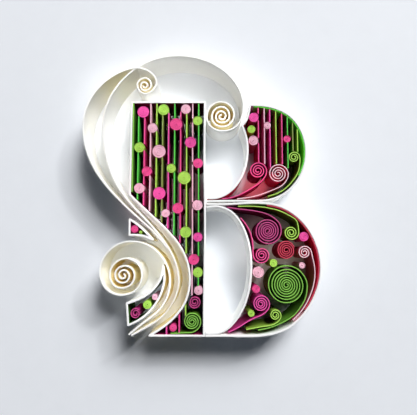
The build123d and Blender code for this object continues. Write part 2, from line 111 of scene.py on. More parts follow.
BOWL_OUTER = [
    (-0.53, 1.72), (5.32, 1.75), (11.18, 1.71), (15.63, 1.89), (18.34, 2.65), (20.83, 4.12),
    (23.00, 6.27), (24.70, 8.97), (25.75, 12.02), (26.10, 15.25), (25.73, 18.49), (24.68, 21.43),
    (23.08, 23.85), (21.05, 25.66), (18.42, 26.96), (15.02, 27.77), (11.16, 27.91),
]
BOWL_SHOULDER = [
    (11.16, 27.91), (10.58, 24.96), (9.90, 23.37), (9.01, 22.25),
]
BOWL_INNER = [
    (9.01, 22.25), (10.13, 18.89), (10.48, 15.09), (9.98, 11.30), (8.72, 7.97), (6.86, 5.34),
    (4.61, 3.54), (2.13, 2.60), (-0.53, 2.52),
]
LOWER_OUTER = [
    (-0.66, 0.95), (5.00, 0.90), (10.99, 1.17), (15.91, 0.97), (19.19, 0.18), (22.02, -1.30),
    (24.58, -3.52), (26.72, -6.40), (28.26, -9.77), (29.07, -13.34), (29.11, -16.86), (28.36, -20.42),
    (26.82, -23.97), (24.57, -27.24), (21.96, -29.75), (19.21, -31.42), (15.94, -32.44), (11.34, -32.91),
    (5.35, -32.86), (-0.64, -32.90),
]
COUNTER_LINE = [
    (-0.66, 0.05), (1.82, 0.32), (4.15, -0.15), (6.14, -1.28), (7.85, -3.18), (9.50, -6.31),
    (10.61, -10.04), (11.09, -14.39), (10.86, -19.18), (9.97, -23.36), (8.52, -26.80), (6.61, -29.55),
    (4.63, -31.29), (2.65, -32.12), (-0.64, -32.30),
]

PEGS = {   # node: (x, y, radius) of each tight coil
    "bowl_pegs_hot_pink": [(21.10, 18.60, 0.95), (12.35, -21.20, 1.00)],
    "bowl_pegs_lime": [(11.55, 21.25, 1.05), (16.95, -14.55, 1.00), (11.00, -27.30, 0.85)],
    "bowl_pegs_magenta": [(12.20, 24.55, 1.30), (25.00, -7.70, 1.20)],
    "bowl_pegs_pale_pink": [(12.05, 18.15, 1.30), (15.85, 22.30, 0.95), (12.95, -16.90, 1.45), (24.35, -15.15, 0.80)],
    "side_pegs_hot_pink": [(-19.38, -5.62, 0.98)],
    "side_pegs_lime": [(-17.75, -6.45, 0.45), (-15.72, -25.11, 1.08)],
    "side_pegs_pale_pink": [(-13.85, -23.20, 0.75)],
    "stem_pegs_hot_pink": [(-8.74, 22.58, 1.66), (-16.44, 9.75, 1.29), (-2.79, 11.91, 1.31), (-8.13, -0.13, 1.39), (-3.87, -13.57, 1.37), (-9.05, -30.89, 0.95)],
    "stem_pegs_lime": [(-12.18, 26.63, 1.50), (-2.93, 23.55, 1.24), (-18.52, 16.26, 1.37), (-9.97, 10.56, 1.21), (-6.49, 8.00, 1.71), (-6.04, -6.44, 1.47), (-2.77, -16.93, 1.26)],
    "stem_pegs_magenta": [(-17.67, 26.02, 1.55), (-4.82, 17.62, 1.47), (-13.09, 3.85, 1.63), (-2.84, -7.74, 1.21)],
    "stem_pegs_pale_pink": [(-6.18, 26.80, 1.31), (-15.10, 21.58, 1.29), (-13.27, 15.17, 1.74), (-18.37, 5.18, 1.37), (-2.97, 0.66, 1.37), (-11.32, -1.45, 1.05), (-2.55, -21.48, 1.16)],
}

STEM_LINES = [   # x of the line, colour, (lower end, upper end) of each length of strip
    (-18.83, "green", [(2.14, 3.80), (6.58, 14.84), (17.66, 24.76)]),
    (-17.22, "hot_pink", [(0.62, 4.16), (6.20, 8.54), (10.94, 15.40), (17.12, 24.44)]),
    (-15.60, "pale_pink", [(-0.86, 8.58), (10.92, 20.28), (22.88, 28.30)]),
    (-13.98, "lime", [(-2.36, 2.32), (5.38, 13.46), (16.86, 20.62), (22.54, 28.30)]),
    (-12.37, "olive", [(-3.86, -2.12), (-0.78, 2.26), (5.44, 13.54), (16.80, 25.08)]),
    (-10.75, "magenta", [(-32.58, -30.64), (-5.44, -2.48), (-0.42, 9.46), (11.66, 25.72)]),
    (-9.13, "green", [(-7.18, -1.32), (1.04, 9.48), (11.64, 20.88), (24.28, 28.30)]),
    (-7.52, "hot_pink", [(-32.04, -27.66), (-9.24, -7.22), (-5.66, -1.52), (1.24, 6.46), (9.54, 21.22), (23.92, 26.08)]),
    (-5.90, "lime", [(-27.80, -25.40), (-12.00, -7.96), (-4.92, 6.28), (9.70, 16.40), (18.84, 25.44)]),
    (-4.28, "pale_pink", [(-22.70, -14.96), (-12.16, -0.18), (1.52, 11.54), (12.26, 16.14), (19.10, 23.02), (24.06, 28.30)]),
    (-2.67, "green", [(-20.28, -18.24), (-12.58, -9.00), (-6.48, -0.76), (2.08, 10.54), (13.28, 22.26), (24.82, 28.30)]),
]

BOWL_LINES = [
    (13.40, "hot_pink", [(12.24, 17.48), (18.82, 23.68), (25.42, 27.18)]),
    (15.00, "pale_pink", [(11.72, 21.56), (23.04, 27.02)]),
    (16.50, "magenta", [(10.78, 21.42), (23.18, 26.72)]),
    (18.10, "lime", [(11.74, 26.24)]),
    (19.70, "hot_pink", [(11.66, 25.52)]),
    (21.20, "green", [(10.54, 17.60), (19.60, 24.52)]),
    (22.60, "olive", [(15.22, 23.08)]),
    (23.85, "lime", [(15.06, 21.12)]),
]

COILS = {   # node: (x, y, outer radius, spacing of the turns, angle of the outer end)
    "foot_coil_magenta": (-3.50, -24.45, 1.80, 0.54, 200),
    "bowl_coil_crimson": (20.35, -11.35, 2.60, 0.54, 20),
    "leaf_coil_magenta": (-18.70, -27.35, 1.55, 0.54, 40),
}

SCROLLS = {   # node: (x, y, radius of the curl, radius of its eye, angle where the tail joins, turns, sense,
              #        how fast the turns close up, tail)
    "foot_scroll_green": (-4.15, -29.35, 2.35, 0.30, -40, 3.6, 1, 0.85,
        [(-3.10, -31.60), (-4.15, -32.07), (-5.90, -32.18), (-7.70, -32.30), (-9.60, -32.32)]),
    "upper_scroll_hot_pink": (13.20, 9.90, 2.40, 0.32, -20, 3.0, 1, 0.85,
        [(15.00, 8.10), (14.23, 7.08), (13.07, 6.15), (10.90, 4.75), (8.40, 3.45), (5.80, 2.60), (3.50, 2.32)]),
    "upper_scroll_pale_pink": (18.60, 9.10, 2.75, 0.32, -20, 3.4, 1, 0.85,
        [(20.65, 7.05), (19.73, 6.00), (18.25, 5.12), (15.90, 4.15), (13.20, 3.20), (10.40, 2.60), (7.60, 2.30)]),
    "upper_scroll_lime": (22.85, 13.60, 1.55, 0.32, 10, 2.2, 1, 0.90,
        [(24.42, 12.40), (24.10, 10.20), (22.90, 7.80), (21.10, 5.65), (18.70, 3.95), (15.90, 2.95)]),
    "lower_scroll_plum": (15.60, -6.30, 3.70, 0.30, 40, 5.4, -1, 0.80,
        [(17.39, -2.93), (16.04, -2.07), (14.49, -1.48), (12.10, -0.95), (9.60, -0.60), (7.20, -0.28), (4.90, 0.10)]),
    "lower_scroll_lime": (21.75, -6.75, 1.95, 0.32, -10, 2.6, -1, 0.85,
        [(23.73, -6.11), (23.61, -5.08), (23.29, -3.72), (21.50, -2.30), (19.30, -1.15), (16.60, -0.35), (13.40, 0.15), (10.40, 0.30), (7.80, 0.30)]),
    "lower_scroll_hot_pink": (13.90, -12.55, 2.20, 0.32, 190, 2.9, 1, 0.85,
        [(11.62, -11.00), (11.50, -8.90), (10.95, -6.70), (9.95, -4.70), (8.40, -2.75)]),
    "lower_scroll_green": (20.20, -20.25, 5.30, 0.30, 5, 7.2, 1, 0.75,
        [(25.35, -21.92), (24.77, -23.82), (23.62, -25.72), (21.92, -27.70), (19.50, -29.25), (16.40, -30.60), (12.80, -31.45)]),
    "lower_scroll_pale_pink": (25.10, -11.90, 1.75, 0.32, 20, 2.4, 1, 0.85,
        [(26.98, -12.30), (27.42, -14.60), (27.60, -17.20), (27.10, -20.30), (25.95, -23.30), (24.00, -26.45), (21.60, -28.95)]),
    "lower_scroll_magenta": (13.55, -24.90, 2.25, 0.30, -35, 3.4, 1, 0.85,
        [(14.68, -27.02), (13.65, -27.75), (12.16, -28.33), (10.30, -29.20), (8.50, -30.30), (6.70, -31.30), (5.20, -31.98)]),
    "lower_scroll_small_lime": (17.15, -27.75, 1.50, 0.32, -30, 2.2, 1, 0.85,
        [(18.01, -29.12), (17.29, -29.70), (16.38, -30.13), (14.30, -30.50), (12.00, -30.88), (9.80, -31.30)]),
}

LININGS = {   # coloured strips glued against the inside of an outline
    "stem_lining_green": [
        (-20.30, 28.31), (-20.30, 4.30),
    ],
    "upper_lining_green": [
        (24.01, 8.70), (24.88, 10.72), (25.41, 12.85), (25.61, 15.05), (25.46, 17.24), (24.97, 19.39),
        (24.13, 21.41), (22.94, 23.24), (21.41, 24.78), (19.58, 25.94), (17.53, 26.73), (15.37, 27.21),
        (13.15, 27.43), (12.22, 27.44),
    ],
    "lower_lining_crimson": [
        (15.53, 0.52), (18.54, -0.12), (21.30, -1.42), (23.71, -3.33), (25.68, -5.69), (27.19, -8.39),
        (28.20, -11.31), (28.66, -14.36), (28.54, -17.44), (27.83, -20.44), (26.62, -23.29),
        (24.97, -25.92), (24.69, -26.29),
    ],
}

# ---------------------------------------------------------------- hand-made unevenness
# Strips lean a little, all in the same sense where they are close together, so that glued strips
# stay side by side. The waves are fixed ones.
rng = np.random.default_rng(20417)


class Waves:
    """A smooth uneven field over x and y, in mm, from a few fixed waves."""

    def __init__(self, count, longest, shortest, size):
        length = np.exp(rng.uniform(math.log(shortest), math.log(longest), count))
        way = rng.uniform(0, 2 * math.pi, count)
        self.kx = 2 * math.pi / length * np.cos(way)
        self.ky = 2 * math.pi / length * np.sin(way)
        self.kz = 2 * math.pi / length * rng.uniform(-0.8, 0.8, count)
        self.phase = rng.uniform(0, 2 * math.pi, count)
        share = length / length.max()
        self.size = size * share / math.sqrt((share ** 2).sum() / 2)

    def at(self, x, y, z=0.0):
        x, y = np.asarray(x, float), np.asarray(y, float)
        a = x[..., None] * self.kx + y[..., None] * self.ky + np.asarray(z, float)[..., None] * self.kz + self.phase
        return (np.sin(a) * self.size).sum(-1)


LEAN_X = Waves(7, 70, 22, 0.070)
LEAN_Y = Waves(7, 70, 22, 0.070)
BULGE_X = Waves(9, 16, 4, 0.022)
BULGE_Y = Waves(9, 16, 4, 0.022)
CUT_LINE = Waves(9, 24, 5, 0.014)


def settle(x, y, z, lean=1.0):
    """Moves points of a standing strip as a hand-glued one would stand. The foot on the card stays."""
    f = np.clip((z - CARD_TOP) / STRIP_HEIGHT, 0, 1)
    dx = LEAN_X.at(x, y) * f * lean + BULGE_X.at(x, y, z) * np.sin(math.pi * np.clip(f, 0, 1)) * lean
    dy = LEAN_Y.at(x, y) * f * lean + BULGE_Y.at(x, y, z) * np.sin(math.pi * np.clip(f, 0, 1)) * lean
    drop = np.clip(0.03 + CUT_LINE.at(x, y), 0.0, 0.08) * f ** 6
    return x + dx, y + dy, z - drop


# ---------------------------------------------------------------- lines
def even_line(points, step=0.55, bend=8.0):
    """Points with directions along a smooth line through the given ones, closer together where it bends."""
    p = np.array(points, float)
    if len(p) == 2:
        d = p[1] - p[0]
        length = math.hypot(*d)
        n = max(2, int(math.ceil(length / 1.1)) + 1)
        f = np.linspace(0, 1, n)[:, None]
        xy = p[0] + d * f
        return np.hstack([xy, np.repeat(d[None] / length, n, 0)])
    t = np.concatenate([[0], np.cumsum(np.hypot(*np.diff(p, axis=0).T))])
    n = len(t)
    h = np.diff(t)
    a = np.zeros((n, n))
    b = np.zeros((n, 2))
    a[0, 0] = a[-1, -1] = 1.0
    for i in range(1, n - 1):
        a[i, i - 1], a[i, i], a[i, i + 1] = h[i - 1], 2 * (h[i - 1] + h[i]), h[i]
        b[i] = 6 * ((p[i + 1] - p[i]) / h[i] - (p[i] - p[i - 1]) / h[i - 1])
    m = np.linalg.solve(a, b)
    u = np.linspace(0, t[-1], max(64, int(t[-1] / 0.04)))
    k = np.clip(np.searchsorted(t, u, side="right") - 1, 0, n - 2)
    hk, s = h[k][:, None], (u - t[k])[:, None]
    r = hk - s
    xy = (m[k] * r ** 3 + m[k + 1] * s ** 3) / (6 * hk) + (p[k] / hk - m[k] * hk / 6) * r + (p[k + 1] / hk - m[k + 1] * hk / 6) * s
    d = np.gradient(xy, axis=0)
    ln = np.hypot(d[:, 0], d[:, 1])
    d = d / ln[:, None]
    seg = np.hypot(*np.diff(xy, axis=0).T)
    turn = np.abs(np.arctan2(d[:-1, 0] * d[1:, 1] - d[:-1, 1] * d[1:, 0], (d[:-1] * d[1:]).sum(1)))
    cost = np.concatenate([[0], np.cumsum(np.maximum(seg / step, turn / math.radians(bend)))])
    want = np.linspace(0, cost[-1], max(3, int(math.ceil(cost[-1])) + 1))
    out = np.stack([np.interp(want, cost, c) for c in (xy[:, 0], xy[:, 1], d[:, 0], d[:, 1])], 1)
    out[:, 2:] /= np.hypot(out[:, 2], out[:, 3])[:, None]
    return out


def two_sides(runs, thick, closed=False):
    """Left and right points at each step along a strip made of smooth runs that meet at folds."""
    half = thick / 2
    lines = [even_line(r) for r in runs]
    n = len(lines)
    folds = {}
    for i in range(n if closed else n - 1):
        a, b = lines[i][-1], lines[(i + 1) % n][0]
        turn = a[2] * b[3] - a[3] * b[2]
        dot = a[2] * b[2] + a[3] * b[3]
        cut = half * abs(turn) / max(1e-3, 1 + dot)
        na, nb = np.array([-a[3], a[2]]), np.array([-b[3], b[2]])
        angle = math.atan2(turn, dot)
        point = a[:2]
        inner = point + (na + nb) * half / (1 + dot) * (1 if turn > 0 else -1)
        steps = max(1, int(math.ceil(abs(math.degrees(angle)) / 22)))
        cols = []
        for k in range(steps + 1):
            q = angle * k / steps
            nx = np.array([na[0] * math.cos(q) - na[1] * math.sin(q), na[0] * math.sin(q) + na[1] * math.cos(q)])
            outer = point - nx * half * (1 if turn > 0 else -1)
            cols.append((inner, outer) if turn > 0 else (outer, inner))
        folds[i] = (point, cut, cols)
    left, right = [], []
    for i, line in enumerate(lines):
        xy, tan = line[:, :2], line[:, 2:]
        nrm = np.stack([-tan[:, 1], tan[:, 0]], 1)
        keep = np.ones(len(line), bool)
        before = folds.get((i - 1) % n) if (closed or i > 0) else None
        after = folds.get(i)
        if before:
            keep &= np.hypot(*(xy - before[0]).T) > before[1] * 1.1 + 0.12
        if after:
            keep &= np.hypot(*(xy - after[0]).T) > after[1] * 1.1 + 0.12
        left += list((xy + nrm * half)[keep])
        right += list((xy - nrm * half)[keep])
        if after:
            left += [c[0] for c in after[2]]
            right += [c[1] for c in after[2]]
    return np.array(left), np.array(right)


# Painted bounce light: where strips stand close together, light that has met cream paper many times turns golden, and
# that tint is painted into the paper's colour, by spots of x, y, radius of full tint, radius of none and most tint.
BOUNCE_TINTED_PAPERS = []
PAINTED_BOUNCE_SPOTS = [(-22.0, -17.3, 3.2, 4.3, 1.0), (3.6, 24.6, 3.0, 4.0, 1.0), (-17.1, 33.5, 1.4, 2.4, 1.0), (-26.0, 36.5, 3.0, 10.0, 0.45)]


# painted bounce light: strength of the golden tint, 0 to 1, in the lower channels and round the spots
def painted_bounce(x, y):
    w = np.clip((2.0 - y) / 12.0, 0, 1) * np.clip((x + 17.0) / 4.0, 0, 1) * np.clip((-2.2 - x) / 1.5, 0, 1) * 0.7
    for cx, cy, r0, r1, most in PAINTED_BOUNCE_SPOTS:
        w = np.maximum(w, most * np.clip((r1 - np.hypot(x - cx, y - cy)) / (r1 - r0), 0, 1))
    return w * w * (3 - 2 * w)


# ---------------------------------------------------------------- meshes
class Mesh:
    """Collects vertices, faces, an edge mark and a material number for one piece."""

    def __init__(self):
        self.v, self.f, self.mark, self.mat = [], [], [], []

    def add(self, v, f, mark, mat=None):
        base = len(self.v)
        self.v += [tuple(p) for p in v]
        self.f += [tuple(int(i) + base for i in q) for q in f]
        self.mark += list(mark)
        self.mat += list(mat) if mat is not None else [0] * len(f)

    def object(self, name, materials, node, smooth=48):
        mesh = bpy.data.meshes.new(name)
        mesh.from_pydata([(x * MM, y * MM, z * MM) for x, y, z in self.v], [], self.f)
        at = mesh.attributes.new("cut_edge_and_top_highlight", "FLOAT", "POINT")
        at.data.foreach_set("value", np.array(self.mark, np.float32))
        if any(m in BOUNCE_TINTED_PAPERS for m in materials):
            xyz = np.array(self.v)
            at = mesh.attributes.new("bounce_tint_mask", "FLOAT", "POINT")
            at.data.foreach_set("value", painted_bounce(xyz[:, 0], xyz[:, 1]).astype(np.float32))
        for m in materials:
            mesh.materials.append(m)
        mesh.polygons.foreach_set("material_index", np.array(self.mat, np.int32))
        mesh.polygons.foreach_set("use_smooth", np.ones(len(self.f), bool))
        mesh.validate()
        mesh.set_sharp_from_angle(angle=math.radians(smooth))
        mesh.update()
        ob = bpy.data.objects.new(name, mesh)
        bpy.context.scene.collection.objects.link(ob)
        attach(ob, "root")
        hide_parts(node)
        return ob


def strip(mesh, runs, thick, closed=False, drop=0.0, lean=1.0, shaded_where=None, rows=6, lift=None, worn=0.2,
          top_highlight=0.0):
    """A paper strip stood on the card. Its top edge is cut, very slightly rounded and uneven, and the top 4 mm of its
    faces can be made paler by the given amount, a painted highlight. Its left face takes the second material, a painted
    shade, where the given test of x and y is true."""
    left, right = two_sides(runs, thick, closed) if not isinstance(runs, tuple) else runs
    z1 = TOP - drop
    soft = min(0.07, thick * worn)
    wall = list(np.linspace(CARD_TOP, z1 - 3 * soft, rows)) + [z1 - 1.9 * soft]
    side = [(1.0, z, 0.0) for z in wall] + [(1.0, z1 - soft, 0.55)]
    crown = [(1 - 0.55 * soft / (thick / 2), z1 - 0.28 * soft, 1.0), (1 - 1.6 * soft / (thick / 2), z1, 1.0)]
    ring = [(-w, z, m) for w, z, m in side + crown] + [(w, z, m) for w, z, m in reversed(side + crown)]
    mid, arm = (left + right) / 2, (left - right) / 2
    w = np.array([r[0] for r in ring])
    z = np.array([r[1] for r in ring])
    x = mid[:, 0:1] + arm[:, 0:1] * w
    y = mid[:, 1:2] + arm[:, 1:2] * w
    zz = np.repeat(z[None], len(mid), 0)
    ox, oy, oz = settle(mid[:, 0:1] + 0 * w, mid[:, 1:2] + 0 * w, zz, lean)
    x, y, zz = x + (ox - mid[:, 0:1]), y + (oy - mid[:, 1:2]), oz
    if lift is not None:
        zz = zz + np.asarray(lift)[:, None] * np.clip((z[None] - CARD_TOP) / (z1 - CARD_TOP), 0, 1) ** 8
    v = np.stack([x, y, zz], -1).reshape(-1, 3)
    n, k = len(mid), len(ring)
    faces, mats = [], []
    coloured = np.zeros(n, bool) if shaded_where is None else shaded_where(mid[:, 0], mid[:, 1])
    for i in range(n if closed else n - 1):
        j = (i + 1) % n
        for a in range(k):
            b = (a + 1) % k
            faces.append((i * k + a, j * k + a, j * k + b, i * k + b))
            mats.append(1 if coloured[i] and k - rows - 2 <= a < k - 1 else 0)
    if not closed:
        faces.append(tuple(range(k)))
        faces.append(tuple((n - 1) * k + a for a in reversed(range(k))))
        mats += [0, 0]
    cut = np.tile([r[2] for r in ring], (n, 1))
    # painted highlight: the top 4 mm of the faces take the edge's paler colour, fading downwards and less where bounce
    # is painted
    if top_highlight:
        top_highlight_band = top_highlight * np.clip(1 - (z1 - z) / 4.0, 0, 1)[None] * (1 - painted_bounce(mid[:, 0], mid[:, 1]))[:, None]
        cut = np.maximum(cut, top_highlight_band)
    mesh.add(v, faces, cut.reshape(-1), mats)


def wound(x, y, radius, sense, start, paper=0.215, gap=0.009):
    """Sides of a tight coil, wound from its middle out with its turns pressed together, and a
    little lift for each step, since the turns never end quite level. The last turn is pressed
    flat against the one before, so the coil stays round."""
    thick = paper - gap
    r0 = thick / 2 + 0.003
    turns = (radius - 0.03 + thick / 2 - r0) / paper
    deg, steps = 0.0, [0.0]
    while deg < turns * 360:
        r = r0 + paper * deg / 360
        deg += min(40.0, max(11.0, math.degrees(0.22 / r)))
        steps.append(deg)
    deg = np.array(steps) * (turns * 360 / steps[-1])
    r = r0 + paper * deg / 360
    a = math.radians(start) + sense * np.radians(deg)
    out = np.minimum(r + thick / 2, radius)
    ins = np.minimum(r - thick / 2, radius - 0.03)
    ca, sa = np.cos(a), np.sin(a)
    outer = np.stack([x + out * ca, y + out * sa], 1)
    inner = np.stack([x + ins * ca, y + ins * sa], 1)
    f = r / radius
    lift = 0.020 * np.sin(deg / 360 * 2.3 + start) + 0.014 * np.sin(deg / 360 * 5.1 + 2 * start)
    lift = lift + 0.06 * (1 - f ** 2) - 0.02 * np.exp(-(r / 0.3) ** 2)
    lift = lift - 0.15 * np.exp(-((f - 0.74) / 0.085) ** 2) - 0.10 * np.exp(-((f - 0.36) / 0.09) ** 2)
    return ((inner, outer) if sense > 0 else (outer, inner)), thick, lift


def loose_coil(x, y, radius, pitch, angle, thick):
    """Line of a loose coil: its turns lie evenly apart, and the outer end is tucked in against the next turn."""
    r0 = radius - FILL_THICK / 2
    turns = (r0 - 0.30) / pitch
    n = int(turns * 16)
    tuck = pitch - FILL_THICK - GLUE_GAP
    pts = []
    for i in range(n + 1):
        deg = turns * 360 * i / n
        s = min(1.0, deg / 80.0)
        s = s * s * (3 - 2 * s)
        r = r0 - pitch * deg / 360 - tuck * (1 - s)
        a = math.radians(angle + deg)
        pts.append((x + r * math.cos(a), y + r * math.sin(a)))
    return pts


def curl(x, y, r_out, r_in, angle, turns, sense, closing):
    """Line of an open curl, from its inner end out."""
    n = int(turns * 15)
    pts = []
    for i in range(n + 1):
        f = i / n
        a = math.radians(angle + sense * turns * 360 * f)
        r = r_out + (r_in - r_out) * f ** closing
        pts.append((x + r * math.cos(a), y + r * math.sin(a)))
    return pts[::-1]


def nearest(points, line):
    """Distance of each point from a line's own points."""
    p, q = np.asarray(points)[:, None, :2], np.asarray(line)[None, :, :2]
    return np.hypot(*(p - q).transpose(2, 0, 1)).min(1)


# ---------------------------------------------------------------- materials
def srgb(r, g, b):
    def one(c):
        c /= 255.0
        return c / 12.92 if c <= 0.04045 else ((c + 0.055) / 1.055) ** 2.4
    return (one(r), one(g), one(b), 1.0)


def toned(c, k, towards=None, share=0.0):
    out = [min(1.0, x * k) for x in c[:3]]
    if towards:
        out = [a + (b - a) * share for a, b in zip(out, towards[:3])]
    return (*out, 1.0)


def paper(name, face, edge, vary=0.07, mottle=0.5, rough=(0.72, 0.9), bump=0.35, fibre=2600.0, specular=0.28,
          glow=0.0, depth=(0.6, 0.5, 0.4), bounce_tint=None):
    """Dyed paper: cloudy tone, fine fibres, a cut edge with its own colour, and light that soaks through it, by depth
    in mm. Where a tint is given, golden bounce light is painted into its colour by a mask attribute."""
    m = bpy.data.materials.new(name)
    m.use_nodes = True
    nt = m.node_tree
    nodes, links = nt.nodes, nt.links
    nodes.clear()
    out = nodes.new("ShaderNodeOutputMaterial")
    bsdf = nodes.new("ShaderNodeBsdfPrincipled")
    links.new(bsdf.outputs[0], out.inputs[0])
    bsdf.inputs["Specular IOR Level"].default_value = specular
    if glow:
        bsdf.subsurface_method = "RANDOM_WALK"
        bsdf.inputs["Subsurface Weight"].default_value = glow
        bsdf.inputs["Subsurface Radius"].default_value = depth
        bsdf.inputs["Subsurface Scale"].default_value = MM
    coord = nodes.new("ShaderNodeTexCoord")
    stretch = nodes.new("ShaderNodeMapping")
    stretch.inputs["Scale"].default_value = (1.0, 1.0, 2.2)
    links.new(coord.outputs["Object"], stretch.inputs["Vector"])

    cloud = nodes.new("ShaderNodeTexNoise")
    cloud.inputs["Scale"].default_value = 190.0
    cloud.inputs["Detail"].default_value = 4.0
    cloud.inputs["Roughness"].default_value = 0.55
    links.new(coord.outputs["Object"], cloud.inputs["Vector"])

    fib = nodes.new("ShaderNodeTexNoise")
    fib.inputs["Scale"].default_value = fibre
    fib.inputs["Detail"].default_value = 3.0
    fib.inputs["Roughness"].default_value = 0.62
    fib.inputs["Distortion"].default_value = 0.6
    links.new(stretch.outputs[0], fib.inputs["Vector"])

    both = nodes.new("ShaderNodeMix")
    both.data_type = "FLOAT"
    both.inputs["Factor"].default_value = mottle
    links.new(cloud.outputs["Fac"], both.inputs["A"])
    links.new(fib.outputs["Fac"], both.inputs["B"])

    tone = nodes.new("ShaderNodeValToRGB")
    tone.color_ramp.elements[0].position = 0.33
    tone.color_ramp.elements[0].color = toned(face, 1 - vary)
    tone.color_ramp.elements[1].position = 0.67
    tone.color_ramp.elements[1].color = toned(face, 1 + vary * 0.7)
    links.new(both.outputs["Result"], tone.inputs["Fac"])

    shown = tone.outputs["Color"]
    # painted bounce light: the golden tint is mixed into the colour by the mask
    if bounce_tint:
        BOUNCE_TINTED_PAPERS.append(m)
        bounce_tint_mask = nodes.new("ShaderNodeAttribute")
        bounce_tint_mask.attribute_name = "bounce_tint_mask"
        blend = nodes.new("ShaderNodeMix")
        blend.data_type = "RGBA"
        blend.inputs["B"].default_value = bounce_tint
        links.new(bounce_tint_mask.outputs["Fac"], blend.inputs["Factor"])
        links.new(shown, blend.inputs["A"])
        shown = blend.outputs["Result"]

    cut = nodes.new("ShaderNodeValToRGB")
    cut.color_ramp.elements[0].position = 0.36
    cut.color_ramp.elements[0].color = toned(edge, 1 - vary * 1.3)
    cut.color_ramp.elements[1].position = 0.62
    cut.color_ramp.elements[1].color = toned(edge, 1 + vary * 0.5)
    links.new(fib.outputs["Fac"], cut.inputs["Fac"])

    # the edge mark, which also carries the painted top highlight, picks the edge colour
    mark = nodes.new("ShaderNodeAttribute")
    mark.attribute_name = "cut_edge_and_top_highlight"
    mix = nodes.new("ShaderNodeMix")
    mix.data_type = "RGBA"
    links.new(mark.outputs["Fac"], mix.inputs["Factor"])
    links.new(shown, mix.inputs["A"])
    links.new(cut.outputs["Color"], mix.inputs["B"])
    links.new(mix.outputs["Result"], bsdf.inputs["Base Color"])

    rr = nodes.new("ShaderNodeMapRange")
    rr.inputs["From Min"].default_value = 0.3
    rr.inputs["From Max"].default_value = 0.7
    rr.inputs["To Min"].default_value = rough[0]
    rr.inputs["To Max"].default_value = rough[1]
    links.new(fib.outputs["Fac"], rr.inputs["Value"])
    links.new(rr.outputs["Result"], bsdf.inputs["Roughness"])

    bm = nodes.new("ShaderNodeBump")
    bm.inputs["Strength"].default_value = bump
    bm.inputs["Distance"].default_value = 0.00003
    links.new(fib.outputs["Fac"], bm.inputs["Height"])
    links.new(bm.outputs["Normal"], bsdf.inputs["Normal"])
    return m


def dyed(name, r, g, b, wall=0.74, edge_highlight=0.05, **more):
    """The cut edge shows the full dye, brightened a little towards white as a painted highlight; the face is darkened
    by the wall factor as painted shade.
    """
    full = srgb(r, g, b)
    return paper(name, toned(full, wall), toned(full, 1.08, (1, 1, 1), edge_highlight), **more)


# golden tint of light bounced many times between cream strips, painted into the papers' colour
BOUNCE_TAN = srgb(249, 240, 201)
WHITE = paper("paper_white", srgb(252, 252, 250), srgb(255, 255, 255), vary=0.01, bounce_tint=BOUNCE_TAN)
CREAM = paper("paper_cream", srgb(252, 251, 247), srgb(255, 255, 252), vary=0.012, bounce_tint=BOUNCE_TAN)
CREAM_OUTER = paper("paper_cream_outer", srgb(252, 251, 247), srgb(255, 255, 252), vary=0.012, glow=0.45,
                    depth=(0.75, 0.74, 0.66), bounce_tint=BOUNCE_TAN)
# a darker copy of the cream for the crown arch, as painted shade on its inner wall
CREAM_ARCH_SHADED = paper("paper_cream_arch_shaded", srgb(242, 241, 237), srgb(255, 255, 252), vary=0.012, bounce_tint=BOUNCE_TAN)
CREAM_SOFT = paper("paper_cream_soft", srgb(252, 251, 246), srgb(255, 255, 251), vary=0.012, glow=1.0,
                   depth=(0.75, 0.77, 0.76), bounce_tint=BOUNCE_TAN)
CARD = paper("card_white", srgb(238, 241, 246), srgb(238, 241, 246), vary=0.012, mottle=0.35, fibre=1500.0, bump=0.22)
DYES = {
    "hot_pink": (243, 60, 146), "magenta": (246, 66, 168), "pale_pink": (255, 188, 209), "lime": (174, 226, 76),
    "green": (76, 214, 62), "olive": (134, 156, 60), "crimson": (208, 32, 74), "leaf_green": (122, 194, 50),
    "plum": (196, 44, 128),
}
COLOURS = {name: dyed("paper_" + name, *rgb) for name, rgb in DYES.items()}
# the tails are darker copies of the dyes, faces at half the dye, as painted shade; the pale pink tail's face is a deep
# pink, also painted shade
SHADED_TAILS = {name: dyed("tail_" + name, *DYES[name], wall=0.5, edge_highlight=0.06) for name in DYES if name != "olive"}
SHADED_TAILS["pale_pink"] = paper("tail_pale_pink", srgb(238, 104, 142), srgb(255, 218, 228))
LININGS_LOOK = {
    "stem_lining_green": SHADED_TAILS["leaf_green"],
    "upper_lining_green": paper("lining_green", srgb(138, 246, 96), srgb(104, 222, 70)),
    "lower_lining_crimson": dyed("lining_crimson", *DYES["crimson"], wall=1.0),
}

# ---------------------------------------------------------------- the card
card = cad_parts["backing_card"]
card.data.materials.clear()
card.data.materials.append(CARD)


# ---------------------------------------------------------------- white outlines
def outline(name, runs, closed=False, inside=None, where=None):
    """Its runs go anticlockwise round the window, so the window is on their left."""
    mesh = Mesh()
    strip(mesh, runs, OUTLINE_THICK, closed=closed, shaded_where=where, rows=7)
    mesh.object(name + "_paper", [WHITE] + ([inside] if inside else []), name)


def anticlockwise(runs):
    line = [p for run in runs for p in run]
    area = sum(p[0] * q[1] - q[0] * p[1] for p, q in zip(line, line[1:] + line[:1]))
    return runs if area > 0 else [run[::-1] for run in reversed(runs)]


def all_round(x, y):
    return np.ones(len(x), bool)


# white paper whose face towards the window is painted with shade and the colour reflected from the dyed strips
MAROON_SHADE_SIDE = paper("paper_white_maroon_shade", srgb(150, 30, 84), srgb(255, 255, 255))
ROSE_SHADE_SIDE = paper("paper_white_rose_shade", srgb(232, 70, 104), srgb(255, 255, 255))
MOSS_SHADE_SIDE = paper("paper_white_moss_shade", srgb(74, 122, 44), srgb(255, 255, 255))

